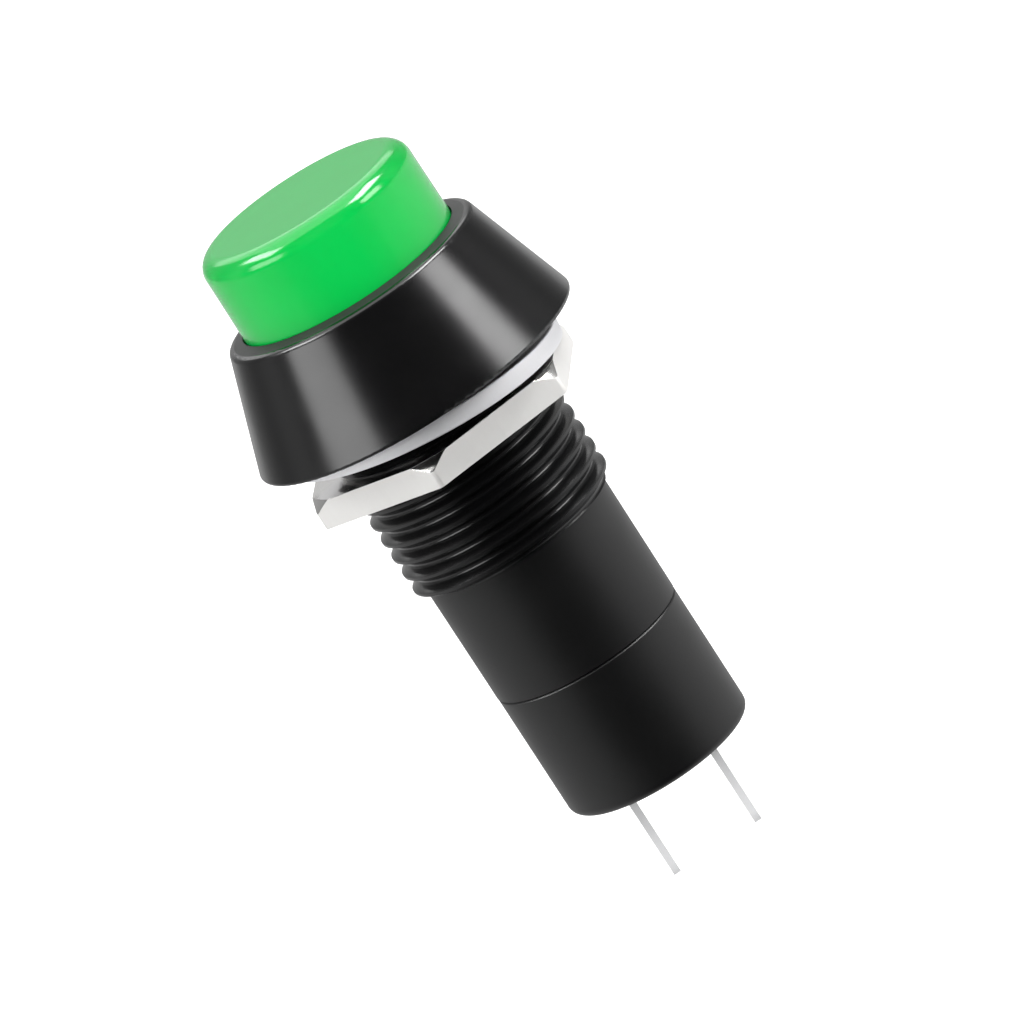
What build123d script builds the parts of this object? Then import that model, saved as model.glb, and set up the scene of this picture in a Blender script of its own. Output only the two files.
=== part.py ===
from build123d import *
from math import cos, radians, sin, tan
import os

# Panel pushbutton, momentary, one normally open contact, for a 12 mm round hole.
# Frame: the axis of the barrel is Z. The origin is where the bezel seats on the
# panel, +Z points at the finger and -Z at the solder tabs. Millimetres.

# ---------------------------------------------------------------- driving sizes
# bezel: the cone that stays in front of the panel
BEZEL_HEIGHT = 6.3
BEZEL_TOP_RADIUS = 7.05
BEZEL_FOOT_RADIUS = 9.16
BEZEL_TOP_ROUND = 0.35
BEZEL_FOOT_ROUND = 0.15

# well of the bezel, which the cap slides in
WELL_RADIUS = 6.14
WELL_FLOOR = 1.2
WELL_LIP = 0.03

# ring recess in the bezel's underside, for a seal, where the washer now leans
RECESS_RADIUS = 8.15
RECESS_DEPTH = 0.5

# threaded bushing below the bezel, M12 x 1, right-handed
PITCH = 1.0
CREST_RADIUS = 5.83
ROOT_RADIUS = 5.29
ROOT_ROUND = 0.195
FLANK_ANGLE = 30
FLANK_BULGE = 0.015
RELIEF_RADIUS = 5.22
RELIEF_BOTTOM = -0.8
RELIEF_CHAMFER = 0.35
THREAD_END = -9.35
THREAD_END_CHAMFER = 0.27
THREAD_TURNS = 10
CREST_Z = -0.57  # height of a ridge where it crosses the +X side

# plain barrel below the thread, closed by the base cup at the seam
BARREL_TOP_RADIUS = 5.27
BARREL_LOW_RADIUS = 5.25
CHAMBER_RADIUS = 4.2
WEB_BOTTOM = -2.4
SEAM = -16.12
BASE_RADIUS = 5.23
BASE_BOTTOM = -23.34
BASE_ROUND = 0.5
SEAM_BREAK = 0.08

# guide ribs in the spring chamber, which keep the plunger from turning
RIB_WIDTH = 1.0
RIB_INNER_RADIUS = 3.45
RIB_BOTTOM = -8.5

# base cup: spigot in the barrel, contact chamber, ledges under the contacts
SPIGOT_RADIUS = 4.17
SPIGOT_TOP = -13.4
SPIGOT_CHAMFER = 0.2
CUP_RADIUS = 3.55
LEDGE_TOP = -20.3
PIT_FLOOR = -21.6
PIT_HALF_WIDTH = 1.95

# travel of the button and lift of the bridge on its spring at full press
TRAVEL = 2.0
OVERTRAVEL = 0.7

# cap
CAP_TOP = 11.1
CAP_TOP_RADIUS = 6.01
CAP_SKIRT_RADIUS = 6.09
CAP_SKIRT_END = 3.3
CAP_EDGE_ROUND = 1.0
CAP_WALL = 1.1
CAP_CEILING = 9.8
SOCKET_RADIUS = 3.6
SOCKET_END = 4.2

# plunger
STEM_RADIUS = 2.6
STEM_TOP = 9.65
STEM_CHAMFER = 0.3
GUIDE_CLEARANCE = 0.08
SNAP_Z = 7.6
SNAP_BEAD = 0.14
SNAP_HALF_HEIGHT = 0.35
FIT_GAP = 0.02
FLANGE_RADIUS = 3.95
FLANGE_THICKNESS = 1.2
NOTCH_WIDTH = 1.3
NOTCH_INNER_RADIUS = 3.3
SHANK_RADIUS = 2.3
CARRIER_END = -18.7
CARRIER_HALF_WIDTH = 1.6
WINDOW_TOP = -16.5
SPRING_BORE_RADIUS = 1.3
SPRING_BORE_TOP = -11.8

# spring seat between the spring chamber and the contact chamber
SEAT_THICKNESS = 0.8
SEAT_BORE_RADIUS = 2.42

# return spring and contact spring
RETURN_WIRE = 0.45
RETURN_MEAN_RADIUS = 2.95
RETURN_TURNS = 6.5
CONTACT_WIRE = 0.25
CONTACT_MEAN_RADIUS = 1.0
CONTACT_TURNS = 7

# contact bridge and its two contacts
CONTACT_GAP = TRAVEL - OVERTRAVEL
CONTACT_X = 2.8
CONTACT_HEAD_RADIUS = 0.45
CONTACT_HEAD_HEIGHT = 0.35
CONTACT_CROWN_ROUND = 0.2
CONTACT_SHANK_RADIUS = 0.22
BRIDGE_LENGTH = 6.6
BRIDGE_WIDTH = 2.0
BRIDGE_THICKNESS = 0.35
NIB_RADIUS = 0.7
NIB_HEIGHT = 0.25
NIB_DRAFT = 20
WINDOW_WIDTH = 2.4

# solder terminals
TAB_X = 2.43
TAB_THICKNESS = 0.4
TAB_WIDTH = 2.2
TAB_END = -28.75
TAB_TIP_ROUND = 0.7
PAD_END_X = 3.3
PAD_BEND_RADIUS = 0.5
EYE_RADIUS = 0.55
EYE_FROM_TIP = 1.5

# washer, loose on the thread, with one edge up in the bezel's recess
WASHER_RADIUS = 7.75
WASHER_HOLE_RADIUS = 6.15
WASHER_THICKNESS = 1.0
WASHER_EDGE_BREAK = 0.08
WASHER_TILT = 4.6
WASHER_SHIFT = -0.15
WASHER_TOUCH = 0.03

# hexagon nut, chamfered on the face towards the washer
NUT_ACROSS_FLATS = 14.1
NUT_THICKNESS = 1.5
NUT_BOTTOM = -3.32
NUT_CORNER_AZIMUTH = -12.4  # of one corner, from the front (-Y) towards +X
NUT_CHAMFER_RADIUS = 7.6
NUT_CHAMFER_ANGLE = 50
NUT_BORE_RADIUS = 5.5
NUT_MOUTH_CHAMFER = 0.3
NUT_GROOVE_TURNS = 4
NUT_GROOVE_CREST_RADIUS = 5.93
NUT_GROOVE_CREST_HALF = 0.12
NUT_GROOVE_FOOT_HALF = 0.39

# how far a cutting shape reaches past the face that it cuts
OVERCUT = 0.1

# ---------------------------------------------------------------- derived levels
nut_corner_radius = NUT_ACROSS_FLATS / 2 / cos(radians(30))
nut_top = NUT_BOTTOM + NUT_THICKNESS
pad_top = LEDGE_TOP + TAB_THICKNESS
fixed_contact_top = pad_top + CONTACT_HEAD_HEIGHT
moving_contact_low = fixed_contact_top + CONTACT_GAP
bridge_low = moving_contact_low + CONTACT_HEAD_HEIGHT
bridge_top = bridge_low + BRIDGE_THICKNESS
flange_low = WEB_BOTTOM - FLANGE_THICKNESS
seat_top = SPIGOT_TOP + SEAT_THICKNESS
sides = {"left": -1, "right": 1}


def corner(sketch, x, y):
    """The vertex of a profile nearest to the stated point."""
    return sketch.vertices().sort_by_distance((x, y, 0))[0]


def finish(part, name):
    """Name one sub-part and write it to its own file."""
    part.label = name
    export_step(part, f"parts/{name}.step")


def helical_cut(outline, radius, first_z, turns):
    """A right-handed helical cutter. outline draws its section, with X out and Y up."""
    with BuildPart() as tool:
        with BuildLine() as path:
            Helix(PITCH, turns * PITCH, radius, center=(0, 0, first_z))
        start = path.line @ 0
        with BuildSketch(Plane(origin=start, x_dir=(1, 0, 0), z_dir=path.line % 0)):
            with BuildLine():
                outline()
            make_face()
        sweep(path=path.line, is_frenet=True)
    return tool.part


def valley_outline():
    """The groove between two ridges: a 60 degree V with a rounded root."""
    depth = CREST_RADIUS - ROOT_RADIUS
    flank = radians(FLANK_ANGLE)
    foot_x = ROOT_ROUND * (1 - sin(flank))
    foot_y = ROOT_ROUND * cos(flank)
    shoulder_y = foot_y + (depth - foot_x) * tan(flank)
    outside_x = depth + 2 * OVERCUT
    outside_y = shoulder_y + OVERCUT / 2
    Polyline((outside_x, -outside_y), (depth, -shoulder_y))
    SagittaArc((depth, -shoulder_y), (foot_x, -foot_y), -FLANK_BULGE)
    ThreePointArc((foot_x, -foot_y), (0, 0), (foot_x, foot_y))
    SagittaArc((foot_x, foot_y), (depth, shoulder_y), -FLANK_BULGE)
    Polyline((depth, shoulder_y), (outside_x, outside_y), (outside_x, -outside_y))


def ridge_outline():
    """The space that a ridge of the bushing runs in, cut into the nut's bore."""
    depth = NUT_GROOVE_CREST_RADIUS - NUT_BORE_RADIUS
    foot = NUT_GROOVE_FOOT_HALF
    crest = NUT_GROOVE_CREST_HALF
    inside_y = foot + OVERCUT / 2
    Polyline((-OVERCUT, -inside_y), (0, -foot))
    SagittaArc((0, -foot), (depth, -crest), -FLANK_BULGE)
    Line((depth, -crest), (depth, crest))
    SagittaArc((depth, crest), (0, foot), -FLANK_BULGE)
    Polyline((0, foot), (-OVERCUT, inside_y), (-OVERCUT, -inside_y))


def coil_spring(mean_radius, wire, turns, low, high):
    """An open coil between two flat seats at low and high."""
    rise = high - low - wire
    with BuildPart() as coil:
        with BuildLine() as path:
            Helix(rise / turns, rise, mean_radius, center=(0, 0, low + wire / 2))
        with BuildSketch(Plane(origin=path.line @ 0, z_dir=path.line % 0)):
            Circle(wire / 2)
        sweep(path=path.line, is_frenet=True)
    return coil.part


def contact_button(x, strip_face, facing, through):
    """A contact with a rounded head on a strip's face and its shank through the strip.

    facing is 1 for a head that looks up and -1 for one that looks down.
    """
    with BuildPart() as button:
        with BuildSketch(Plane.XY.offset(strip_face)):
            with Locations((x, 0)):
                Circle(CONTACT_HEAD_RADIUS)
        extrude(amount=facing * CONTACT_HEAD_HEIGHT)
        crown = button.edges().sort_by(Axis.Z, reverse=facing > 0)[0]
        fillet(crown, CONTACT_CROWN_ROUND)
        with BuildSketch(Plane.XY.offset(strip_face)):
            with Locations((x, 0)):
                Circle(CONTACT_SHANK_RADIUS)
        extrude(amount=-facing * through)
    return button.part


os.makedirs("parts", exist_ok=True)

# ---------------------------------------------------------------- housing
# Bezel, threaded bushing and upper barrel are one moulding.
valley_z = CREST_Z + PITCH / 2
groove = helical_cut(valley_outline, ROOT_RADIUS, valley_z - THREAD_TURNS * PITCH, THREAD_TURNS)

with BuildPart() as housing:
    with BuildSketch(Plane.XZ) as blank:
        with BuildLine():
            Polyline(
                (WELL_RADIUS, BEZEL_HEIGHT),
                (BEZEL_TOP_RADIUS, BEZEL_HEIGHT),
                (BEZEL_FOOT_RADIUS, 0),
                (RECESS_RADIUS, 0),
                (RECESS_RADIUS, RECESS_DEPTH),
                (RELIEF_RADIUS, RECESS_DEPTH),
                (RELIEF_RADIUS, RELIEF_BOTTOM),
                (CREST_RADIUS, RELIEF_BOTTOM - RELIEF_CHAMFER),
                (CREST_RADIUS, THREAD_END + THREAD_END_CHAMFER),
                (BARREL_TOP_RADIUS, THREAD_END),
                (BARREL_LOW_RADIUS, SEAM),
                (CHAMBER_RADIUS, SEAM),
                (CHAMBER_RADIUS, WEB_BOTTOM),
                (STEM_RADIUS + GUIDE_CLEARANCE, WEB_BOTTOM),
                (STEM_RADIUS + GUIDE_CLEARANCE, WELL_FLOOR),
                (WELL_RADIUS, WELL_FLOOR),
                close=True,
            )
        make_face()
        fillet(corner(blank, BEZEL_TOP_RADIUS, BEZEL_HEIGHT), BEZEL_TOP_ROUND)
        fillet(corner(blank, BEZEL_FOOT_RADIUS, 0), BEZEL_FOOT_ROUND)
        chamfer(corner(blank, WELL_RADIUS, BEZEL_HEIGHT), WELL_LIP)
        chamfer(corner(blank, BARREL_LOW_RADIUS, SEAM), SEAM_BREAK)
        chamfer(corner(blank, CHAMBER_RADIUS, SEAM), SPIGOT_CHAMFER)
    revolve(axis=Axis.Z)
    add(groove, mode=Mode.SUBTRACT)
    with BuildSketch(Plane.XY.offset(WEB_BOTTOM)):
        Circle(CHAMBER_RADIUS + OVERCUT)
        Rectangle(RIB_WIDTH, 4 * CHAMBER_RADIUS, mode=Mode.INTERSECT)
        Circle(RIB_INNER_RADIUS, mode=Mode.SUBTRACT)
    extrude(amount=RIB_BOTTOM - WEB_BOTTOM)
finish(housing.part, "housing")

# ---------------------------------------------------------------- base cup
with BuildPart() as base:
    with BuildSketch(Plane.XZ) as cup:
        with BuildLine():
            Polyline(
                (0, BASE_BOTTOM),
                (BASE_RADIUS, BASE_BOTTOM),
                (BASE_RADIUS, SEAM),
                (SPIGOT_RADIUS, SEAM),
                (SPIGOT_RADIUS, SPIGOT_TOP),
                (CUP_RADIUS, SPIGOT_TOP),
                (CUP_RADIUS, LEDGE_TOP),
                (0, LEDGE_TOP),
                close=True,
            )
        make_face()
        fillet(corner(cup, BASE_RADIUS, BASE_BOTTOM), BASE_ROUND)
        chamfer(corner(cup, BASE_RADIUS, SEAM), SEAM_BREAK)
        chamfer(corner(cup, SPIGOT_RADIUS, SPIGOT_TOP), SPIGOT_CHAMFER)
    revolve(axis=Axis.Z)
    # pit between the ledges, for the foot of the plunger
    with BuildSketch(Plane.XY.offset(LEDGE_TOP)):
        Circle(CUP_RADIUS)
        Rectangle(2 * PIT_HALF_WIDTH, 4 * CUP_RADIUS, mode=Mode.INTERSECT)
    extrude(amount=PIT_FLOOR - LEDGE_TOP, mode=Mode.SUBTRACT)
    # slots that the terminals stand in
    with BuildSketch(Plane.XY.offset(LEDGE_TOP)):
        with GridLocations(2 * TAB_X, 0, 2, 1):
            Rectangle(TAB_THICKNESS, TAB_WIDTH)
    extrude(amount=BASE_BOTTOM - LEDGE_TOP, mode=Mode.SUBTRACT)
finish(base.part, "base")

# ---------------------------------------------------------------- spring seat
with BuildPart() as spring_seat:
    with BuildSketch(Plane.XY.offset(SPIGOT_TOP)):
        Circle(SPIGOT_RADIUS)
        Circle(SEAT_BORE_RADIUS, mode=Mode.SUBTRACT)
    extrude(amount=SEAT_THICKNESS)
finish(spring_seat.part, "spring_seat")

# ---------------------------------------------------------------- cap
with BuildPart() as cap:
    with BuildSketch(Plane.XZ) as shell:
        with BuildLine():
            Polyline(
                (0, CAP_TOP),
                (CAP_TOP_RADIUS, CAP_TOP),
                (CAP_SKIRT_RADIUS, CAP_SKIRT_END),
                (CAP_SKIRT_RADIUS - CAP_WALL, CAP_SKIRT_END),
                (CAP_SKIRT_RADIUS - CAP_WALL, CAP_CEILING),
                (SOCKET_RADIUS, CAP_CEILING),
                (SOCKET_RADIUS, SOCKET_END),
                (STEM_RADIUS + FIT_GAP, SOCKET_END),
                (STEM_RADIUS + FIT_GAP, SNAP_Z - SNAP_HALF_HEIGHT),
                (STEM_RADIUS + FIT_GAP + SNAP_BEAD, SNAP_Z),
                (STEM_RADIUS + FIT_GAP, SNAP_Z + SNAP_HALF_HEIGHT),
                (STEM_RADIUS + FIT_GAP, CAP_CEILING),
                (0, CAP_CEILING),
                close=True,
            )
        make_face()
        fillet(corner(shell, CAP_TOP_RADIUS, CAP_TOP), CAP_EDGE_ROUND)
    revolve(axis=Axis.Z)
finish(cap.part, "cap")

# ---------------------------------------------------------------- plunger
with BuildPart() as plunger:
    with BuildSketch(Plane.XZ) as turned:
        with BuildLine():
            Polyline(
                (0, STEM_TOP),
                (STEM_RADIUS, STEM_TOP),
                (STEM_RADIUS, SNAP_Z + SNAP_HALF_HEIGHT),
                (STEM_RADIUS + SNAP_BEAD, SNAP_Z),
                (STEM_RADIUS, SNAP_Z - SNAP_HALF_HEIGHT),
                (STEM_RADIUS, WEB_BOTTOM),
                (FLANGE_RADIUS, WEB_BOTTOM),
                (FLANGE_RADIUS, flange_low),
                (SHANK_RADIUS, flange_low),
                (SHANK_RADIUS, CARRIER_END),
                (0, CARRIER_END),
                close=True,
            )
        make_face()
        chamfer(corner(turned, STEM_RADIUS, STEM_TOP), STEM_CHAMFER)
        chamfer(corner(turned, SHANK_RADIUS, CARRIER_END), STEM_CHAMFER)
    revolve(axis=Axis.Z)
    # notches of the flange, which ride on the housing's ribs
    with BuildSketch(Plane.XY.offset(WEB_BOTTOM)):
        Rectangle(NOTCH_WIDTH, 4 * FLANGE_RADIUS)
        Circle(NOTCH_INNER_RADIUS, mode=Mode.SUBTRACT)
    extrude(amount=-FLANGE_THICKNESS, mode=Mode.SUBTRACT)
    # flats of the carrier, which clear the fixed contacts
    with BuildSketch(Plane.XY.offset(WINDOW_TOP)):
        Circle(2 * SHANK_RADIUS)
        Rectangle(2 * CARRIER_HALF_WIDTH, 6 * SHANK_RADIUS, mode=Mode.SUBTRACT)
    extrude(amount=CARRIER_END - WINDOW_TOP - OVERCUT, mode=Mode.SUBTRACT)
    # window across the carrier, which holds the bridge
    with BuildSketch(Plane.XY.offset(bridge_low)):
        Rectangle(4 * SHANK_RADIUS, WINDOW_WIDTH)
    extrude(amount=WINDOW_TOP - bridge_low, mode=Mode.SUBTRACT)
    # blind bore above the window, which holds the contact spring
    with BuildSketch(Plane.XY.offset(WINDOW_TOP - OVERCUT)):
        Circle(SPRING_BORE_RADIUS)
    extrude(amount=SPRING_BORE_TOP - WINDOW_TOP + OVERCUT, mode=Mode.SUBTRACT)
finish(plunger.part, "plunger")

# ---------------------------------------------------------------- springs
finish(coil_spring(RETURN_MEAN_RADIUS, RETURN_WIRE, RETURN_TURNS, seat_top, flange_low),
       "return_spring")
finish(coil_spring(CONTACT_MEAN_RADIUS, CONTACT_WIRE, CONTACT_TURNS, bridge_top, SPRING_BORE_TOP),
       "contact_spring")

# ---------------------------------------------------------------- contact bridge
with BuildPart() as bridge:
    with BuildSketch(Plane.XY.offset(bridge_low)) as strip:
        Rectangle(BRIDGE_LENGTH, BRIDGE_WIDTH)
        fillet(strip.vertices(), BRIDGE_WIDTH / 4)
        with GridLocations(2 * CONTACT_X, 0, 2, 1):
            Circle(CONTACT_SHANK_RADIUS, mode=Mode.SUBTRACT)
    extrude(amount=BRIDGE_THICKNESS)
    # nib that centres the contact spring
    with BuildSketch(Plane.XY.offset(bridge_top)):
        Circle(NIB_RADIUS)
    extrude(amount=NIB_HEIGHT, taper=NIB_DRAFT)
finish(bridge.part, "contact_bridge")

# ---------------------------------------------------------------- terminals and contacts
for side, sign in sides.items():
    finish(contact_button(sign * CONTACT_X, bridge_low, -1, BRIDGE_THICKNESS),
           f"moving_contact_{side}")
    finish(contact_button(sign * CONTACT_X, pad_top, 1, TAB_THICKNESS),
           f"fixed_contact_{side}")

    inner_x = sign * (TAB_X - TAB_THICKNESS / 2)
    outer_x = sign * (TAB_X + TAB_THICKNESS / 2)
    with BuildPart() as terminal:
        # the strip seen edge-on: a tab that turns outwards into the contact pad
        with BuildSketch(Plane.XZ) as edge:
            with BuildLine():
                Polyline(
                    (inner_x, TAB_END),
                    (outer_x, TAB_END),
                    (outer_x, LEDGE_TOP),
                    (sign * PAD_END_X, LEDGE_TOP),
                    (sign * PAD_END_X, pad_top),
                    (inner_x, pad_top),
                    close=True,
                )
            make_face()
            fillet(corner(edge, inner_x, pad_top), PAD_BEND_RADIUS)
        extrude(amount=TAB_WIDTH / 2, both=True)
        # rounded tip and the eye for the wire
        tip_edges = terminal.edges().filter_by(Axis.X).group_by(Axis.Z)[0]
        fillet(tip_edges, TAB_TIP_ROUND)
        with BuildSketch(Plane.YZ.offset(sign * TAB_X)):
            with Locations((0, TAB_END + EYE_FROM_TIP)):
                Circle(EYE_RADIUS)
        extrude(amount=TAB_THICKNESS, both=True, mode=Mode.SUBTRACT)
        # hole that the fixed contact is riveted in
        with BuildSketch(Plane.XY.offset(pad_top)):
            with Locations((sign * CONTACT_X, 0)):
                Circle(CONTACT_SHANK_RADIUS)
        extrude(amount=-TAB_THICKNESS, mode=Mode.SUBTRACT)
    finish(terminal.part, f"terminal_{side}")

# ---------------------------------------------------------------- washer
# It hangs loose on the thread, aslant, with one edge up against the recess's ceiling.
washer_rise = (WASHER_RADIUS * sin(radians(WASHER_TILT))
               + WASHER_THICKNESS / 2 * cos(radians(WASHER_TILT)))
washer_level = Plane((WASHER_SHIFT, 0, RECESS_DEPTH - WASHER_TOUCH - washer_rise))
with BuildPart() as washer:
    with BuildSketch(washer_level.rotated((0, WASHER_TILT, 0))):
        Circle(WASHER_RADIUS)
        Circle(WASHER_HOLE_RADIUS, mode=Mode.SUBTRACT)
    extrude(amount=WASHER_THICKNESS / 2, both=True)
    chamfer(washer.edges().filter_by(GeomType.CIRCLE), WASHER_EDGE_BREAK)
finish(washer.part, "washer")

# ---------------------------------------------------------------- nut
nut_groove = helical_cut(ridge_outline, NUT_BORE_RADIUS, CREST_Z - NUT_GROOVE_TURNS * PITCH,
                         NUT_GROOVE_TURNS)

with BuildPart() as nut:
    with BuildSketch(Plane.XY.offset(NUT_BOTTOM)):
        RegularPolygon(NUT_ACROSS_FLATS / 2, 6, major_radius=False,
                       rotation=NUT_CORNER_AZIMUTH - 90)
        Circle(NUT_BORE_RADIUS, mode=Mode.SUBTRACT)
    extrude(amount=NUT_THICKNESS)
    # the corners are turned off on the face towards the washer
    outer_radius = nut_corner_radius + OVERCUT
    turned_off = (outer_radius - NUT_CHAMFER_RADIUS) * tan(radians(NUT_CHAMFER_ANGLE))
    with BuildSketch(Plane.XZ):
        with BuildLine():
            Polyline(
                (0, NUT_BOTTOM),
                (outer_radius, NUT_BOTTOM),
                (outer_radius, nut_top - turned_off),
                (NUT_CHAMFER_RADIUS, nut_top),
                (0, nut_top),
                close=True,
            )
        make_face()
    revolve(axis=Axis.Z, mode=Mode.INTERSECT)
    bore_edges = nut.edges().filter_by(GeomType.CIRCLE).filter_by(
        lambda edge: abs(edge.radius - NUT_BORE_RADIUS) < OVERCUT)
    chamfer(bore_edges, NUT_MOUTH_CHAMFER)
    add(nut_groove, mode=Mode.SUBTRACT)
finish(nut.part, "nut")
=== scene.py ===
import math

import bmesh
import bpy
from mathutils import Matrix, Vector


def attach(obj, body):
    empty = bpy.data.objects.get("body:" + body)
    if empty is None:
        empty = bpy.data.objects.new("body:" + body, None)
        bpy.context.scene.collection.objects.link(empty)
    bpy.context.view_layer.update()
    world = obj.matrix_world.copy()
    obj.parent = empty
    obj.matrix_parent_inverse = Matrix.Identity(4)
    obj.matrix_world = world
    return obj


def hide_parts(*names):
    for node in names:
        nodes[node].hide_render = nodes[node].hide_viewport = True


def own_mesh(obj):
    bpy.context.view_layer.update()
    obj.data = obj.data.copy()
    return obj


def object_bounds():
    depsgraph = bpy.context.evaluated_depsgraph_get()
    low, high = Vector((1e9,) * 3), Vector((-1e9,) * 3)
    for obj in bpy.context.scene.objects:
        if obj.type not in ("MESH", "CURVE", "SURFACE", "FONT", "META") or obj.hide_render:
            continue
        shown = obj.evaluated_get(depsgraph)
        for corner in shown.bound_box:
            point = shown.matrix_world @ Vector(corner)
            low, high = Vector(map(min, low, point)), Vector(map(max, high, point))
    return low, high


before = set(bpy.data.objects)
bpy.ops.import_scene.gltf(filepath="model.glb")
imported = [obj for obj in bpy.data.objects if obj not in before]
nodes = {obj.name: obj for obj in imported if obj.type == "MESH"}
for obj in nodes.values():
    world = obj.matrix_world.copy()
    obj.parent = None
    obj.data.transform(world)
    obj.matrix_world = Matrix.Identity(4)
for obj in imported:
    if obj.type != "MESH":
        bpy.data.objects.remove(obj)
cad_low, cad_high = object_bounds()

# %% [markdown]
# # A panel pushbutton
# The switch is a black moulded barrel with a cone in front of the panel, a green cap that the
# finger presses, a washer and a hexagon nut that clamp it, and two solder tabs. Most of its
# pieces come from the frame with their shape finished and get only a finish here. Four are
# modelled anew, because their small shapes come from how they are made: the two coil springs,
# the punched washer and the threaded nut. The bezel also gets a thin crown. The last steps set
# up the camera and the studio.

MM = 0.001
# corners closer together than this are one corner
DOUBLES = 0.001 * MM
centre = (cad_low + cad_high) / 2
print("box in mm:", [round(value / MM, 2) for value in (*cad_low, *cad_high)])

# %% [markdown]
# ## Tools for modelling
# A piece starts as a primitive or as a profile drawn from one vertex, and an edit-mode operator
# acts on everything that is selected. So one helper makes a piece the only selected object,
# and another selects its edges by where their middle lies, which is what the hand does with a
# box selection. Anything round is a profile spun about the axis, as a lathe or a mould maker
# would make it.


# %% Selecting, drawing and finishing
# how far inside its circle the middle of a spun edge may lie
RIM_REACH = 0.03 * MM


def only(piece):
    """Makes one object the active and the only selected one."""
    bpy.ops.object.select_all(action="DESELECT")
    piece.select_set(True)
    bpy.context.view_layer.objects.active = piece


def choose_edges(test):
    """In edit mode, selects the edges whose middle passes a test."""
    bpy.ops.mesh.select_mode(type="EDGE")
    bpy.ops.mesh.select_all(action="DESELECT")
    mesh = bmesh.from_edit_mesh(bpy.context.object.data)
    for edge in mesh.edges:
        first, second = edge.verts
        edge.select_set(test((first.co + second.co) / 2))
    bmesh.update_edit_mesh(bpy.context.object.data)


def draw_profile(name, points):
    """A line in the XZ plane, drawn by extruding one vertex from point to point."""
    bpy.ops.object.select_all(action="DESELECT")
    bpy.ops.mesh.primitive_plane_add(size=1 * MM, location=(0, 0, 0))
    piece = bpy.context.object
    piece.name = piece.data.name = name
    bpy.ops.object.mode_set(mode="EDIT")
    bpy.ops.mesh.select_mode(type="VERT")
    bpy.ops.mesh.select_all(action="SELECT")
    bpy.ops.mesh.merge(type="CENTER")
    bpy.ops.transform.translate(value=(points[0][0], 0, points[0][1]))
    for (x, z), (next_x, next_z) in zip(points, points[1:]):
        step = (next_x - x, 0, next_z - z)
        bpy.ops.mesh.extrude_region_move(TRANSFORM_OT_translate={"value": step})
    bpy.ops.object.mode_set(mode="OBJECT")
    return piece


def spin_profile(name, points, steps, rims=(), segments=3):
    """A profile spun once round the axis. Each rim has a radius, a level and a bevel's width."""
    piece = draw_profile(name, points)
    bpy.ops.object.mode_set(mode="EDIT")
    bpy.ops.mesh.select_all(action="SELECT")
    bpy.ops.mesh.spin(steps=steps, angle=2 * math.pi, center=(0, 0, 0), axis=(0, 0, 1))
    if rims:
        # a bevel can only run round once the seam of the spin is closed
        bpy.ops.mesh.select_all(action="SELECT")
        bpy.ops.mesh.remove_doubles(threshold=DOUBLES)
    for radius, level, width in rims:
        choose_edges(lambda at: abs(at.xy.length - radius) < RIM_REACH
                     and abs(at.z - level) < DOUBLES)
        bpy.ops.mesh.bevel(offset=width, segments=segments, affect="EDGES")
    bpy.ops.object.mode_set(mode="OBJECT")
    return piece


def apply_modifiers(piece):
    """Makes what the modifiers do a part of the mesh."""
    only(piece)
    for modifier in list(piece.modifiers):
        bpy.ops.object.modifier_apply(modifier=modifier.name)


def cut(piece, tool, operation):
    """Cuts a piece with a tool, or keeps what both share, and removes the tool."""
    boolean = piece.modifiers.new("cut", "BOOLEAN")
    boolean.operation = operation
    boolean.solver = "EXACT"
    boolean.object = tool
    apply_modifiers(piece)
    bpy.data.objects.remove(tool)


def tidy(piece, smooth_below):
    """Closes doubles, turns the faces outwards and smooths edges flatter than some degrees."""
    only(piece)
    bpy.ops.object.mode_set(mode="EDIT")
    bpy.ops.mesh.select_all(action="SELECT")
    bpy.ops.mesh.remove_doubles(threshold=DOUBLES)
    bpy.ops.mesh.normals_make_consistent(inside=False)
    bpy.ops.object.mode_set(mode="OBJECT")
    # an earlier tidy stored normals, which no longer fit a piece that was cut since
    bpy.ops.mesh.customdata_custom_splitnormals_clear()
    bpy.ops.object.shade_smooth_by_angle(angle=math.radians(smooth_below),
                                         keep_sharp_edges=False)
    # a narrow bevel would bend the light on the wide faces beside it, so these count for more
    weight = piece.modifiers.new("wide_faces_first", "WEIGHTED_NORMAL")
    weight.keep_sharp = True
    apply_modifiers(piece)
    print(piece.name, len(piece.data.polygons), "faces, size in mm",
          [round(value / MM, 2) for value in piece.dimensions])


# %% [markdown]
# ## Coil springs
# Both springs are wound from hard steel wire. Their end turns are closed up and ground flat,
# so that they stand square on their seats. A circle of wire is screwed round the axis, and then
# each turn is given its own pitch: the Screw modifier has only one, but it lays the rings of
# vertices one after the other, so a ring's number says how far along the wire it is. Bisecting
# the ends grinds them. A spring stands for its solid.

# %% Closed and ground coil springs
# corners round the wire, and rings of them in one turn of the coil
WIRE_SECTION = 14
RINGS_PER_TURN = 40


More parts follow.
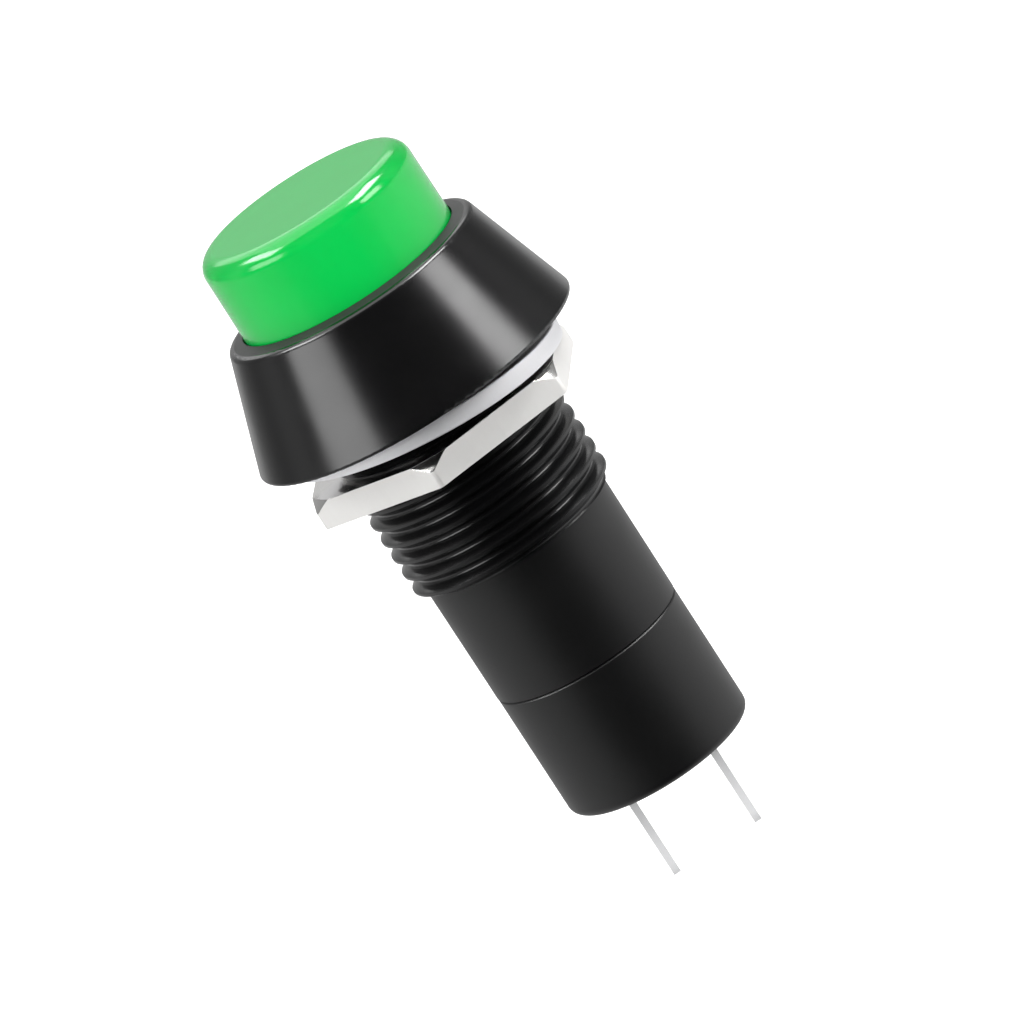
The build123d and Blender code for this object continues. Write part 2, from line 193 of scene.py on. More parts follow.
def wind_spring(name, mean_radius, wire, low, high, turns):
    """A compression spring between two levels, with closed and ground end turns."""
    bpy.ops.object.select_all(action="DESELECT")
    bpy.ops.mesh.primitive_circle_add(vertices=WIRE_SECTION, radius=wire / 2,
                                      location=(mean_radius, 0, 0), rotation=(math.pi / 2, 0, 0))
    spring = bpy.context.object
    spring.name = spring.data.name = name
    bpy.ops.object.transform_apply(location=True, rotation=True, scale=True)
    screw = spring.modifiers.new("screw", "SCREW")
    screw.axis = "Z"
    screw.angle = 2 * math.pi * turns
    screw.screw_offset = 0.0
    screw.steps = screw.render_steps = round(turns * RINGS_PER_TURN)
    screw.use_merge_vertices = False
    apply_modifiers(spring)
    # one turn at each end is closed, so it climbs by the wire alone
    free_turns = turns - 2
    pitch = (high - low - 2 * wire) / free_turns
    for index, vertex in enumerate(spring.data.vertices):
        turn = index // WIRE_SECTION / RINGS_PER_TURN
        closed = min(turn, 1) + max(turn - 1 - free_turns, 0)
        free = min(max(turn - 1, 0), free_turns)
        vertex.co.z += low + closed * wire + free * pitch
    bpy.ops.object.mode_set(mode="EDIT")
    bpy.ops.mesh.select_all(action="SELECT")
    bpy.ops.mesh.fill_holes(sides=WIRE_SECTION)
    for level, upwards in ((low, -1), (high, 1)):
        bpy.ops.mesh.select_all(action="SELECT")
        bpy.ops.mesh.bisect(plane_co=(0, 0, level), plane_no=(0, 0, upwards), clear_outer=True,
                            use_fill=True, threshold=0.0001 * MM)
    bpy.ops.object.mode_set(mode="OBJECT")
    tidy(spring, smooth_below=40)
    return spring


# %% Return spring, from the fibre seat up to the plunger's flange
RETURN_LOW, RETURN_HIGH = -12.6 * MM, -3.6 * MM
return_spring = wind_spring("return_spring_coil", mean_radius=2.95 * MM, wire=0.45 * MM,
                            low=RETURN_LOW, high=RETURN_HIGH, turns=8.5)
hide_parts("return_spring")
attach(return_spring, "switch_body")
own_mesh(return_spring)

# %% Contact spring, from the bridge up to the plunger
CONTACT_LOW, CONTACT_HIGH = -17.55 * MM, -11.8 * MM
contact_spring = wind_spring("contact_spring_coil", mean_radius=1.0 * MM, wire=0.25 * MM,
                             low=CONTACT_LOW, high=CONTACT_HIGH, turns=9)
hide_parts("contact_spring")
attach(contact_spring, "button")
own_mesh(contact_spring)

# %% [markdown]
# ## Washer
# The washer is punched from steel strip. The punch pulls the upper rim round, the die leaves
# the lower rim nearly sharp, and plating softens both. Its section is drawn beside the axis
# and spun round it. Bevelling each rim by its own amount gives the rolled and the sharp side.
# It hangs on the thread a little aslant, so it is tilted last.

# %% Punched washer
WASHER_RADIUS, WASHER_HOLE, WASHER_THICK = 7.75 * MM, 6.15 * MM, 1.0 * MM
WASHER_TILT = math.radians(4.6)
WASHER_PLACE = (-0.15 * MM, 0, -0.65 * MM)
RING_STEPS = 144
half = WASHER_THICK / 2
# the outer and the inner rim of the rolled upper side, and then of the sharper lower side
washer_rims = ((WASHER_RADIUS, half, 0.14 * MM), (WASHER_HOLE, half, 0.1 * MM),
               (WASHER_RADIUS, -half, 0.06 * MM), (WASHER_HOLE, -half, 0.05 * MM))
washer = spin_profile("washer_punched", [
    (WASHER_HOLE, -half), (WASHER_RADIUS, -half), (WASHER_RADIUS, half), (WASHER_HOLE, half),
    (WASHER_HOLE, -half)], RING_STEPS, washer_rims)
bpy.ops.object.mode_set(mode="EDIT")
bpy.ops.mesh.select_all(action="SELECT")
bpy.ops.transform.rotate(value=-WASHER_TILT, orient_axis="Y", center_override=(0, 0, 0))
bpy.ops.transform.translate(value=WASHER_PLACE)
bpy.ops.object.mode_set(mode="OBJECT")
tidy(washer, smooth_below=35)
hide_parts("washer")
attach(washer, "loose_washer")

# %% [markdown]
# ## Crown of the bezel
# The bezel's flat top is crowned next to the cap, where the mould is rounded over towards the
# well. It is one with the housing and takes the same black, so its ring is drawn as a section,
# spun, and its inner edge bevelled round.

# %% Crown round the well
CROWN_IN, CROWN_OUT, CROWN_TOP, BEZEL_TOP = 6.12 * MM, 6.74 * MM, 6.49 * MM, 6.3 * MM
# the foot is sunk into the bezel, and the slope ends a hair below the flat top
CROWN_FOOT, SLOPE_END = BEZEL_TOP - 0.1 * MM, BEZEL_TOP - 0.002 * MM
crown = spin_profile("bezel_crown", [
    (CROWN_IN, CROWN_FOOT), (CROWN_OUT, CROWN_FOOT), (CROWN_OUT, SLOPE_END),
    (CROWN_IN, CROWN_TOP), (CROWN_IN, CROWN_FOOT)], RING_STEPS,
    rims=[(CROWN_IN, CROWN_TOP, 0.05 * MM)], segments=4)
tidy(crown, smooth_below=50)
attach(crown, "switch_body")

# %% [markdown]
# ## Nut: the bar
# The nut is parted from drawn hexagon bar. So the piece starts as a circle of six corners, which
# is extruded to the nut's height. Drawing leaves the bar's corners a little round, and a bevel
# on the six upright edges does the same. It could be cut from a box too, but the circle gives
# the six flats at once.

# %% Hexagon blank
NUT_FLATS, NUT_LOW, NUT_HIGH = 14.1 * MM, -3.32 * MM, -1.82 * MM
NUT_TURN = math.radians(-12.4)
BAR_ROUND = 0.2 * MM
nut_corner = NUT_FLATS / 2 / math.cos(math.radians(30))
bpy.ops.object.select_all(action="DESELECT")
bpy.ops.mesh.primitive_circle_add(vertices=6, radius=nut_corner, fill_type="NGON",
                                  location=(0, 0, NUT_LOW), rotation=(0, 0, NUT_TURN))
nut = bpy.context.object
nut.name = nut.data.name = "nut_hexagon"
bpy.ops.object.transform_apply(location=True, rotation=True, scale=True)
bpy.ops.object.mode_set(mode="EDIT")
bpy.ops.mesh.select_all(action="SELECT")
bpy.ops.mesh.extrude_region_move(TRANSFORM_OT_translate={"value": (0, 0, NUT_HIGH - NUT_LOW)})
bpy.ops.mesh.select_all(action="SELECT")
bpy.ops.mesh.normals_make_consistent(inside=False)
# upright edges have their middle out at the corners, and the others only at the flats
choose_edges(lambda at: at.xy.length > nut_corner - 0.01 * MM)
bpy.ops.mesh.bevel(offset=BAR_ROUND, segments=5, affect="EDGES")
bpy.ops.object.mode_set(mode="OBJECT")
print("nut blank", round(2 * nut_corner / MM, 2), "mm across sharp corners")

# %% [markdown]
# ## Nut: the turned corners
# A lathe takes the upper corners off, which leaves an arc on every flat. What the bar shares
# with a turned blank is the chamfered nut, so a boolean gives every arc its right place. The
# edges get a small bevel after it, because the light on a real nut runs along them.

# %% Turned blank that takes the upper corners off
CHAMFER_RADIUS, CHAMFER_ANGLE = 7.6 * MM, math.radians(50)
BLANK_STEPS = 192
# only edges sharper than an angle are softened, so the arcs of the blank stay as they are
EDGE_SOFTNESS, SOFTEN_ABOVE = 0.05 * MM, math.radians(20)
# the blank is a little wider than the bar, so that it only cuts its upper corners
wide = nut_corner + 0.2 * MM
drop = (wide - CHAMFER_RADIUS) * math.tan(CHAMFER_ANGLE)
turned = spin_profile("turned_blank", [
    (0, NUT_LOW - MM), (wide, NUT_LOW - MM), (wide, NUT_HIGH - drop),
    (CHAMFER_RADIUS, NUT_HIGH), (0, NUT_HIGH)], BLANK_STEPS)
tidy(turned, smooth_below=30)
cut(nut, turned, "INTERSECT")
edges = nut.modifiers.new("soft_edges", "BEVEL")
edges.width = EDGE_SOFTNESS
edges.segments = 3
edges.limit_method = "ANGLE"
edges.angle_limit = SOFTEN_ABOVE
apply_modifiers(nut)
tidy(nut, smooth_below=30)

# %% [markdown]
# ## Nut: the thread
# The thread is cut by a tap, and its mouths are countersunk so that it starts easily. The tap
# here is one pitch of the thread's profile that the Screw modifier winds round the axis, with
# its ends filled. Subtracting it gives a real helix, with no curve to sweep a cutter along.

# %% Tap with the thread's profile
PITCH, TAP_CORE, TAP_CREST = 1.0 * MM, 5.5 * MM, 5.93 * MM
# half the width of the groove's crest and of its foot
CREST_HALF, FOOT_HALF = 0.12 * MM, 0.39 * MM
# the level of a crest straight ahead on +X, which the housing's thread shares
CREST_Z = -0.57 * MM
TAP_TURNS, TAP_STEPS = 6, 96
tap_low = CREST_Z - 5.5 * PITCH
tap_middle = tap_low + PITCH / 2
tap = draw_profile("tap", [
    (TAP_CORE, tap_low), (TAP_CORE, tap_middle - FOOT_HALF),
    (TAP_CREST, tap_middle - CREST_HALF), (TAP_CREST, tap_middle + CREST_HALF),
    (TAP_CORE, tap_middle + FOOT_HALF), (TAP_CORE, tap_low + PITCH)])
screw = tap.modifiers.new("screw", "SCREW")
screw.axis = "Z"
screw.angle = 2 * math.pi
screw.screw_offset = PITCH
screw.iterations = TAP_TURNS
screw.steps = screw.render_steps = TAP_STEPS
screw.use_merge_vertices = True
screw.merge_threshold = DOUBLES
apply_modifiers(tap)
bpy.ops.object.mode_set(mode="EDIT")
bpy.ops.mesh.select_all(action="SELECT")
bpy.ops.mesh.remove_doubles(threshold=DOUBLES)
bpy.ops.mesh.fill_holes(sides=0)
bpy.ops.object.mode_set(mode="OBJECT")
tidy(tap, smooth_below=30)
cut(nut, tap, "DIFFERENCE")

# %% Countersinks at both mouths of the thread
MOUTH, SINK_PAST = 0.3 * MM, 0.5 * MM
for face, outwards in ((NUT_HIGH, 1), (NUT_LOW, -1)):
    # a cone of 45 degrees from inside the nut to a little past its face
    far = face + outwards * SINK_PAST
    near = face - outwards * MOUTH
    sink = spin_profile("countersink", [
        (0, near), (TAP_CORE, near), (TAP_CORE + MOUTH + SINK_PAST, far), (0, far)], TAP_STEPS)
    tidy(sink, smooth_below=30)
    cut(nut, sink, "DIFFERENCE")
tidy(nut, smooth_below=28)
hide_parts("nut")
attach(nut, "clamp_nut")

# %% [markdown]
# ## Tools for materials
# A colour is written as the hex value that a colour picker shows, and a shader wants it linear,
# so one function converts it. Another adds a node, sets it and links it, so that a material
# reads as a list of its layers from the pattern to the shader. Every pattern is laid out in
# object coordinates, and its scale is one over the real size of a grain or a scratch.


# %% Colour and node helpers
def linear(hex_code, alpha=1.0):
    """The linear RGBA of an sRGB hex colour such as "1a1a1b"."""
    shown = [int(hex_code[i:i + 2], 16) / 255 for i in (0, 2, 4)]
    return [c / 12.92 if c <= 0.04045 else ((c + 0.055) / 1.055) ** 2.4 for c in shown] + [alpha]


def add(tree, kind, inputs=None, **settings):
    """Adds a node, sets its properties, and gives each input a value or a link."""
    node = tree.nodes.new(kind)
    for name, value in settings.items():
        setattr(node, name, value)
    for socket, value in (inputs or {}).items():
        if isinstance(value, bpy.types.NodeSocket):
            tree.links.new(value, node.inputs[socket])
        else:
            node.inputs[socket].default_value = value
    return node


def spread(tree, value, low, high, from_low=0.0, from_high=1.0):
    """Maps a value's range to another range."""
    return add(tree, "ShaderNodeMapRange", {
        "Value": value, "From Min": from_low, "From Max": from_high,
        "To Min": low, "To Max": high}).outputs["Result"]


def noise(tree, place, grain, detail=2.0):
    """A cloud pattern whose blots are about one grain wide, in metres."""
    return add(tree, "ShaderNodeTexNoise", {
        "Vector": place, "Scale": 1 / grain, "Detail": detail}).outputs["Fac"]


def mix_colours(tree, share, first, second):
    """Mixes two hex colours by a pattern."""
    # the node's inputs 6 and 7 and its output 2 are the ones for colours
    mixed = add(tree, "ShaderNodeMix", {
        0: share, 6: linear(first), 7: linear(second)}, data_type="RGBA")
    return mixed.outputs[2]


def new_material(name):
    """An empty node material, its tree and its object coordinates."""
    material = bpy.data.materials.new(name)
    material.use_nodes = True
    tree = material.node_tree
    tree.nodes.clear()
    return material, tree, add(tree, "ShaderNodeTexCoord").outputs["Object"]


def finish_material(tree, **inputs):
    """Adds the shader and the output. An underscore in a name stands for a space."""
    shader = add(tree, "ShaderNodeBsdfPrincipled",
                 {name.replace("_", " "): value for name, value in inputs.items()})
    add(tree, "ShaderNodeOutputMaterial", {"Surface": shader.outputs["BSDF"]})


def dress(pieces, material):
    """Puts one material on some pieces or CAD nodes."""
    for piece in pieces:
        target = nodes[piece] if isinstance(piece, str) else piece
        target.data.materials.clear()
        target.data.materials.append(material)
    print(material.name, "on", [p if isinstance(p, str) else p.name for p in pieces])


# %% [markdown]
# ## Moulded plastics
# Housing, base and plunger all have the skin of the mould they came from. A polished
# mould gives a gloss with a faint unevenness, and a sand-blasted one gives a fine grain that
# spreads the light. One function makes both, and can change from the one to the other below
# a height: the bezel and the thread of the housing are polished, and its barrel is blasted.
# ABS has an IOR of 1.52, and its roughness is about 0.2 polished and 0.4 blasted.

# %% Plastics
ABS_IOR, ACETAL_IOR = 1.52, 1.48
BLACK_ABS = "080809"
GRAIN, CLOUD = 0.12 * MM, 2.5 * MM
# the mould's polish starts at the barrel's top, and a piece without any is blasted to far above
BARREL_TOP, BLEND, ALL_BLASTED = -9.2 * MM, 0.2 * MM, 50 * MM


def moulded(name, hex_code, ior, blasted_roughness, polished_roughness=None,
            change=ALL_BLASTED):
    """A moulded plastic. Above the height change it's polished, if that roughness is given."""
    material, tree, place = new_material(name)
    height = add(tree, "ShaderNodeSeparateXYZ", {"Vector": place}).outputs["Z"]
    # 1 where the mould was blasted, so that it can carry both roughness and grain
    blasted = spread(tree, height, 1.0, 0.0, change - BLEND, change)
    if polished_roughness is None:
        polished_roughness = blasted_roughness
    skin = spread(tree, blasted, polished_roughness, blasted_roughness)
    # broad soft clouds keep a large face from shining like glass
    uneven = spread(tree, noise(tree, place, CLOUD), -0.02, 0.02, 0.3, 0.7)
    roughness = add(tree, "ShaderNodeMath", {0: skin, 1: uneven}, operation="ADD").outputs[0]
    # the blasted grain is what makes the barrel look satin next to the bezel
    grain = add(tree, "ShaderNodeBump", {
        "Height": noise(tree, place, GRAIN), "Distance": 0.02 * MM,
        "Strength": spread(tree, blasted, 0.02, 0.12)}).outputs["Normal"]
    finish_material(tree, Base_Color=linear(hex_code), IOR=ior, Roughness=roughness,
                    Normal=grain)
    return material


dress(["housing"], moulded("housing_black_abs_polished_and_blasted", BLACK_ABS, ABS_IOR,
                           blasted_roughness=0.42, polished_roughness=0.24,
                           change=BARREL_TOP))
dress([crown], moulded("crown_black_abs_textured", BLACK_ABS, ABS_IOR, 0.6))
dress(["base"], moulded("base_black_abs_blasted", BLACK_ABS, ABS_IOR, 0.42))
dress(["plunger"], moulded("plunger_natural_acetal_moulded", "e9e8e2", ACETAL_IOR, 0.35))

# %% [markdown]
# ## Green cap
# The cap is polished ABS, dyed through, so it's the mirror of the mould: a low roughness that
# shows the lamps along its rounded edge. Dyed ABS lets a little light in, about a millimetre
# for green and less for the rest, so subsurface keeps its shadows green. The dye isn't quite
# even, so two close greens are mixed by a cloud, and the face has a very shallow sink.

# %% Green ABS
green, tree, place = new_material("cap_green_abs_polished")
cloud = noise(tree, place, 3 * MM)
dye = mix_colours(tree, cloud, "00bb48", "04c04e")
sink = add(tree, "ShaderNodeBump", {
    "Height": cloud, "Strength": 0.06, "Distance": 0.05 * MM}).outputs["Normal"]
finish_material(tree, Base_Color=dye, IOR=ABS_IOR, Normal=sink,
                Roughness=spread(tree, cloud, 0.12, 0.2), Subsurface_Weight=0.15,
                Subsurface_Radius=(0.2, 1.0, 0.4), Subsurface_Scale=0.8 * MM)
dress(["cap"], green)

# %% [markdown]
# ## Fibre seat
# The return spring stands on a ring punched from vulcanised fibre, a red-brown board of cotton
# paper. It's matt, and its paper fibres show as fine streaks in the plane of the sheet.

# %% Vulcanised fibre
FIBRE_IOR = 1.54
fibre, tree, place = new_material("seat_vulcanised_fibre_punched")
paper = add(tree, "ShaderNodeMapping", {"Vector": place, "Scale": (0.15, 1.0, 1.0)})
streaks = noise(tree, paper.outputs["Vector"], 0.15 * MM, 4.0)
tint = mix_colours(tree, streaks, "5f2a1a", "7d3a24")
lay = add(tree, "ShaderNodeBump", {
    "Height": streaks, "Strength": 0.3, "Distance": 0.01 * MM}).outputs["Normal"]
finish_material(tree, Base_Color=tint, IOR=FIBRE_IOR, Normal=lay,
                Roughness=spread(tree, streaks, 0.6, 0.75))
dress(["spring_seat"], fibre)

# %% [markdown]
# ## Metals
# Every metal here shows the lines of its making under the plating: hexagon bar is drawn along
# its axis, strip is punched across its edge, wire is drawn along its length, and the end face
# of the nut is turned on a lathe, in rings. So the lines are a noise that's stretched along
# one axis, and on a turned face a noise of the radius alone. Tumbled nickel is nearly a
# diffuse metal, with a roughness around 0.6, while a turned face is far smoother and mirrors
# the dark bezel above it. The plate isn't pure metal on the skin: a film of oxide scatters
# some light, most on matt tin, so metallic is a little below 1.

# %% Metals
# a pattern that is scaled down along an axis is drawn out into lines along it
ALONG_Z, ALONG_X = (1.0, 1.0, 0.08), (0.08, 1.0, 1.0)
# the feed of the lathe, which is the distance between two rings
RING = 0.05 * MM


def metal(name, hex_code, roughness, metallic=1.0, line=0.2 * MM, along=ALONG_Z,
          depth=0.004 * MM, turned_roughness=None):
    """A metal with drawn lines, and turned rings where its face looks along the axis."""
    material, tree, place = new_material(name)
    drawn = add(tree, "ShaderNodeMapping", {"Vector": place, "Scale": along})
    lines = noise(tree, drawn.outputs["Vector"], line, 4.0)
    dull = spread(tree, lines, roughness - 0.06, roughness + 0.08, 0.25, 0.75)
    if turned_roughness is not None:
        # the lathe only touched faces that look up or down, such as end faces and chamfers
        facing = add(tree, "ShaderNodeTexCoord").outputs["Normal"]
        rise = add(tree, "ShaderNodeSeparateXYZ", {"Vector": facing}).outputs["Z"]
        slope = add(tree, "ShaderNodeMath", {0: rise}, operation="ABSOLUTE").outputs[0]
        turned = spread(tree, slope, 0.0, 1.0, 0.3, 0.5)
        flat = add(tree, "ShaderNodeVectorMath", {0: place, 1: (1.0, 1.0, 0.0)},
                   operation="MULTIPLY").outputs["Vector"]
        radius = add(tree, "ShaderNodeVectorMath", {0: flat}, operation="LENGTH")
        rings = add(tree, "ShaderNodeTexNoise", {
            "W": radius.outputs["Value"], "Scale": 1 / RING}, noise_dimensions="1D")
        lines = add(tree, "ShaderNodeMix", {
            0: turned, 2: lines, 3: rings.outputs["Fac"]}).outputs[0]
        dull = add(tree, "ShaderNodeMix", {
            0: turned, 2: dull, 3: turned_roughness}).outputs[0]
        metallic = spread(tree, turned, metallic, 1.0)
    cut_lines = add(tree, "ShaderNodeBump", {
        "Height": lines, "Strength": 0.2, "Distance": depth}).outputs["Normal"]
    finish_material(tree, Base_Color=linear(hex_code), Metallic=metallic, Roughness=dull,
                    Normal=cut_lines)
    return material


dress([nut], metal("nut_nickel_plated_steel_tumbled", "f2f1ef", 0.64, 0.8, 0.3 * MM,
                   turned_roughness=0.17))
dress([washer], metal("washer_nickel_plated_steel_punched", "f5f5f7", 0.62, 0.75, 0.12 * MM,
                      depth=0.012 * MM, turned_roughness=0.4))
dress(["terminal_left", "terminal_right"],
      metal("terminal_brass_matt_tinned", "ebebec", 0.7, 0.45, 0.2 * MM))
dress(["contact_bridge"], metal("bridge_brass_strip_rolled", "d9b25a", 0.3, 1.0, 0.1 * MM,
                                ALONG_X))
dress(["moving_contact_left", "moving_contact_right", "fixed_contact_left",
       "fixed_contact_right"], metal("contact_silver_headed", "e9e6df", 0.28, 1.0, 0.1 * MM))
dress([return_spring, contact_spring],
      metal("spring_steel_wire_drawn", "b9b9ba", 0.28, 1.0, 0.05 * MM))

# %% [markdown]
# ## Camera
# A small product is shot from half a metre away with a long lens, so that its upper and lower
# end are drawn at nearly one scale. The camera looks down a little, which opens the cap's top,
# and it's rolled by a third of a right angle, so the switch lies across the frame. Its three
# axes are built from those two angles, because a camera that is aimed with a tracking
# rotation keeps its horizon level.

# %% Camera
VIEW_ELEVATION, VIEW_ROLL = math.radians(14.73), math.radians(32.99)
VIEW_DISTANCE = 0.5394
SENSOR_WIDTH, FOCAL_LENGTH = 36.0, 379.0
aim = Vector((0.47, 0.0, -8.366)) * MM
forward = Vector((0.0, math.cos(VIEW_ELEVATION), -math.sin(VIEW_ELEVATION)))
right = Vector((1.0, 0.0, 0.0))
up = right.cross(forward)
across = right * math.cos(VIEW_ROLL) - up * math.sin(VIEW_ROLL)
upright = right * math.sin(VIEW_ROLL) + up * math.cos(VIEW_ROLL)
bpy.ops.object.camera_add()
camera = bpy.context.object
camera.data.sensor_width = SENSOR_WIDTH
camera.data.lens = FOCAL_LENGTH
camera.data.clip_start = 0.05
camera.data.clip_end = 20.0
turn = Matrix((across, upright, -forward)).transposed()
camera.matrix_world = Matrix.Translation(aim - forward * VIEW_DISTANCE) @ turn.to_4x4()
bpy.context.scene.camera = camera
print("camera at", [round(value, 3) for value in camera.matrix_world.translation])

# %% [markdown]
# ## Floor and backdrop
# The switch hangs over white paper that also rises behind it. To the camera the paper is
# plain white. What a glossy piece mirrors is another matter: in a studio, black flags beside
# the camera keep black plastic black, and white cards at the sides draw the bright bands along
# a barrel. So the paper glows by its bearing from the switch: nothing in front, and more
# towards the sides and the back. A ramp over the bearing does that without real flags, which
# would need to be hidden from every other ray.

# %% Glowing paper
# in metres: how far the floor lies below the tabs, half its width, and the wall behind it
FLOOR_DROP, FLOOR_HALF = 0.05, 1.5
WALL_RADIUS, WALL_HEIGHT = 1.4, 1.6


def white_ground(name, stops, lean, seen_glow):
    """White to the camera, while reflections see a glow that depends on the bearing.

    Each stop is a bearing, from the front (0) to the back (1), and the glow there. lean adds to
    the +X side and takes from the other. seen_glow is what the camera sees, and on the floor
    it's a little under 1, because the lamps add the rest. From below the paper is clear.
    """
    material, tree, place = new_material(name)
    path = add(tree, "ShaderNodeLightPath")
    parts = add(tree, "ShaderNodeSeparateXYZ", {0: place})
    sideways = add(tree, "ShaderNodeMath", {0: parts.outputs["X"]}, operation="ABSOLUTE")
    front = add(tree, "ShaderNodeMath", {0: parts.outputs["Y"], 1: -1.0}, operation="MULTIPLY")
    angle = add(tree, "ShaderNodeMath", {
        0: sideways.outputs[0], 1: front.outputs[0]}, operation="ARCTAN2")
    share = add(tree, "ShaderNodeMath", {0: angle.outputs[0], 1: math.pi}, operation="DIVIDE")
    ramp = add(tree, "ShaderNodeValToRGB", {"Fac": share.outputs[0]})
    ramp.color_ramp.interpolation = "EASE"
    while len(ramp.color_ramp.elements) < len(stops):
        ramp.color_ramp.elements.new(0.5)
    for element, (position, glow) in zip(ramp.color_ramp.elements, stops):
        element.position = position
        element.color = (glow, glow, glow, 1.0)
    unit = add(tree, "ShaderNodeVectorMath", {0: place}, operation="NORMALIZE")
    unit_x = add(tree, "ShaderNodeSeparateXYZ", {0: unit.outputs[0]}).outputs["X"]
    balance = add(tree, "ShaderNodeMath", {0: unit_x, 1: lean, 2: 1.0}, operation="MULTIPLY_ADD")
    mirrored = add(tree, "ShaderNodeMath", {
        0: ramp.outputs["Color"], 1: balance.outputs[0]}, operation="MULTIPLY")
    seen = add(tree, "ShaderNodeMath", {
        0: path.outputs["Is Camera Ray"], 1: path.outputs["Is Transmission Ray"]},
        operation="MAXIMUM")
    glossy = add(tree, "ShaderNodeMath", {
        0: path.outputs["Is Glossy Ray"], 1: mirrored.outputs[0]}, operation="MULTIPLY")
    shown = add(tree, "ShaderNodeMath", {0: seen.outputs[0], 1: seen_glow}, operation="MULTIPLY")
    glow = add(tree, "ShaderNodeMath", {
        0: shown.outputs[0], 1: glossy.outputs[0]}, operation="MAXIMUM")
    matt = add(tree, "ShaderNodeBsdfDiffuse", {"Color": linear("e6e6e6")})
    shine = add(tree, "ShaderNodeEmission", {"Strength": glow.outputs[0]})
    both = add(tree, "ShaderNodeAddShader", {0: matt.outputs[0], 1: shine.outputs[0]})
    only_glow = add(tree, "ShaderNodeMixShader", {
        0: path.outputs["Is Glossy Ray"], 1: both.outputs[0], 2: shine.outputs[0]})
    below = add(tree, "ShaderNodeNewGeometry").outputs["Backfacing"]
    clear = add(tree, "ShaderNodeMixShader", {
        0: below, 1: only_glow.outputs[0], 2: add(tree, "ShaderNodeBsdfTransparent").outputs[0]})
    add(tree, "ShaderNodeOutputMaterial", {"Surface": clear.outputs[0]})
    print(name, "glows by", [glow for bearing, glow in stops], "from front to back")
    return material


# %% Floor and the half cylinder behind it
bpy.ops.object.select_all(action="DESELECT")
bpy.ops.mesh.primitive_plane_add(size=2 * FLOOR_HALF, location=(0, 0, cad_low.z - FLOOR_DROP))
floor = bpy.context.object
floor.name = "floor"
floor.data.materials.append(white_ground("floor_white_paper", (
    (0.1, 0.0), (0.22, 0.15), (0.34, 0.55), (0.52, 0.88), (0.78, 0.75)),
    lean=0.15, seen_glow=0.8))

bpy.ops.mesh.primitive_cylinder_add(
    vertices=64, radius=WALL_RADIUS, depth=WALL_HEIGHT, end_fill_type="NOTHING",
    location=(0, 0, cad_low.z - FLOOR_DROP + WALL_HEIGHT / 2))
backdrop = bpy.context.object
backdrop.name = "backdrop"
bpy.ops.object.mode_set(mode="EDIT")
bpy.ops.mesh.select_all(action="SELECT")
bpy.ops.mesh.bisect(plane_co=(0, 0.0, 0), plane_no=(0, 1, 0), clear_inner=True)
bpy.ops.mesh.select_all(action="SELECT")
bpy.ops.mesh.flip_normals()
bpy.ops.object.mode_set(mode="OBJECT")
backdrop.data.materials.append(white_ground("backdrop_white_paper", (
    (0.5, 0.42), (0.56, 0.5), (0.68, 0.22), (0.8, 0.3), (1.0, 0.6)),
    lean=-0.1, seen_glow=1.0))

# %% [markdown]
# ## Lamps
# Matt surfaces are lit by the room, which a bright world stands for. Glossy rays see a dark
# world, so that black stays black, and the lamps then draw the highlights: a narrow softbox
# low at each side runs a band down the cap and the cone, and another one lights the back. Two
# high ones and one overhead are only seen in reflections, and brighten the rim of the bezel and
# the cap's edge without washing out anything matt. The front one is the opposite. It fills the
# shadows on matt faces and is hidden from reflections, since it would lay a grey veil over the
# black barrel.

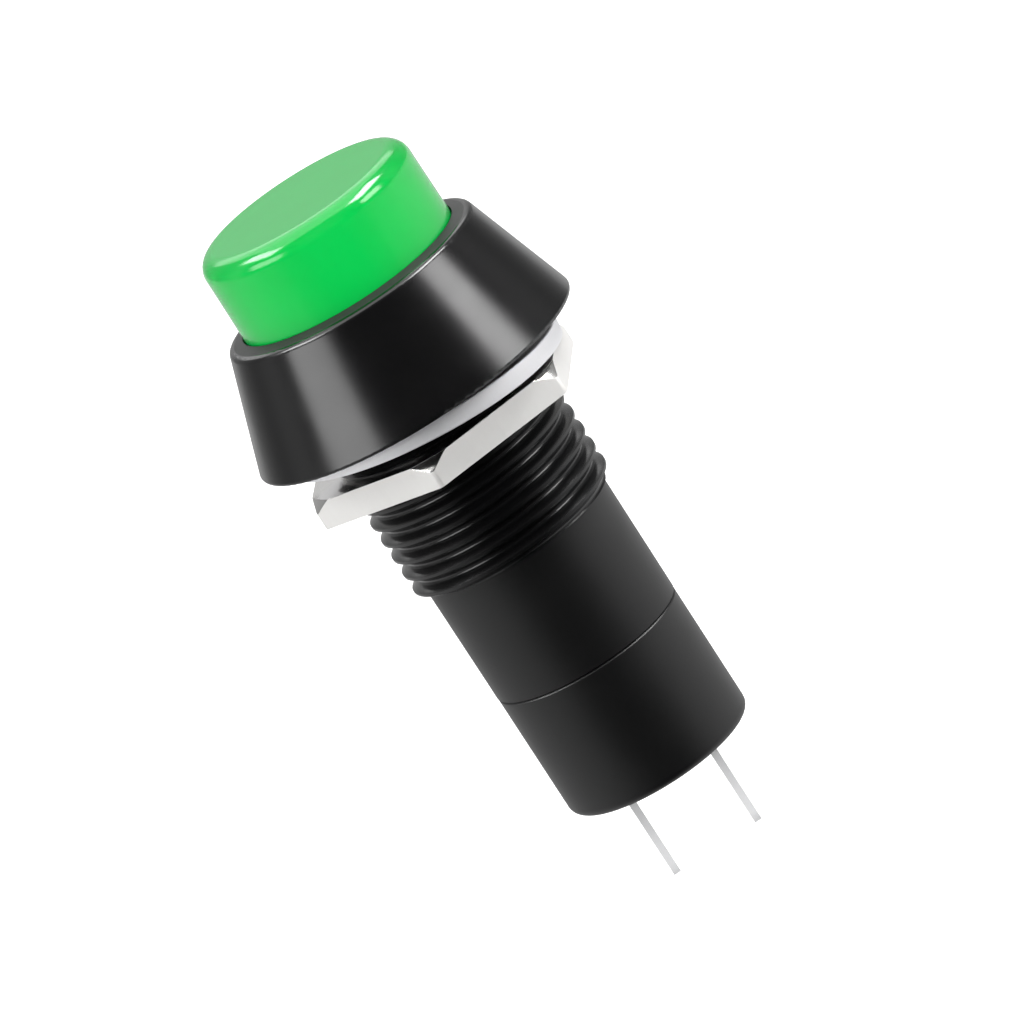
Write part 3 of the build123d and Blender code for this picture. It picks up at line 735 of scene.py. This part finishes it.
# %% World
ROOM_GLOW, MIRRORED_ROOM_GLOW = 0.62, 0.04
world = bpy.data.worlds.new("studio")
bpy.context.scene.world = world
world.use_nodes = True
tree = world.node_tree
tree.nodes.clear()
path = add(tree, "ShaderNodeLightPath")
ambient = add(tree, "ShaderNodeMapRange", {
    "Value": path.outputs["Is Glossy Ray"], "To Min": ROOM_GLOW,
    "To Max": MIRRORED_ROOM_GLOW}).outputs["Result"]
level = add(tree, "ShaderNodeMix", {
    0: path.outputs["Is Camera Ray"], 2: ambient, 3: 1.0}).outputs[0]
air = add(tree, "ShaderNodeBackground", {"Strength": level})
add(tree, "ShaderNodeOutputWorld", {"Surface": air.outputs[0]})
print("world glows by", ROOM_GLOW, "and mirrored by", MIRRORED_ROOM_GLOW)


# %% Softboxes
def softbox(name, azimuth, elevation, distance, width, height, radiance):
    """A rectangular softbox that looks at the switch. Azimuth is from the front towards +X.

    Its power follows from its size, so that it stays as bright to look at when it's resized.
    """
    a, e = math.radians(azimuth), math.radians(elevation)
    way = Vector((math.sin(a) * math.cos(e), -math.cos(a) * math.cos(e), math.sin(e)))
    bpy.ops.object.light_add(type="AREA", location=centre + way * distance)
    lamp = bpy.context.object
    lamp.name = name
    lamp.data.shape = "RECTANGLE"
    lamp.data.size = width
    lamp.data.size_y = height
    lamp.data.energy = radiance * width * height * math.pi
    lamp.rotation_euler = way.to_track_quat("Z", "Y").to_euler()
    lamp.visible_camera = False
    print(name, "at", azimuth, "and", elevation, "degrees")
    return lamp


# after the name: azimuth, elevation, distance, width, height, radiance
softbox("softbox_left", -61, 19, 0.6, 0.38, 0.21, 5.4)
softbox("softbox_right", 65.5, 20, 0.6, 0.25, 0.21, 9.4)
softbox("softbox_back", 180, 44, 0.7, 0.7, 0.45, 1.8)
softbox("softbox_front", 0, 35, 0.6, 0.5, 0.5, 1.9).visible_glossy = False
for lamp in (softbox("softbox_high_left", -84, 52, 0.6, 0.38, 0.17, 15.0),
             softbox("softbox_high_right", 84, 52, 0.6, 0.38, 0.17, 24.0),
             softbox("softbox_top", 180, 88, 0.6, 0.6, 0.64, 2.3)):
    lamp.visible_diffuse = False

# %% [markdown]
# ## Colours
# White paper has to come out white, so the colours are shown as they are, without a film curve.

# %% Colours
bpy.context.scene.view_settings.view_transform = "Standard"
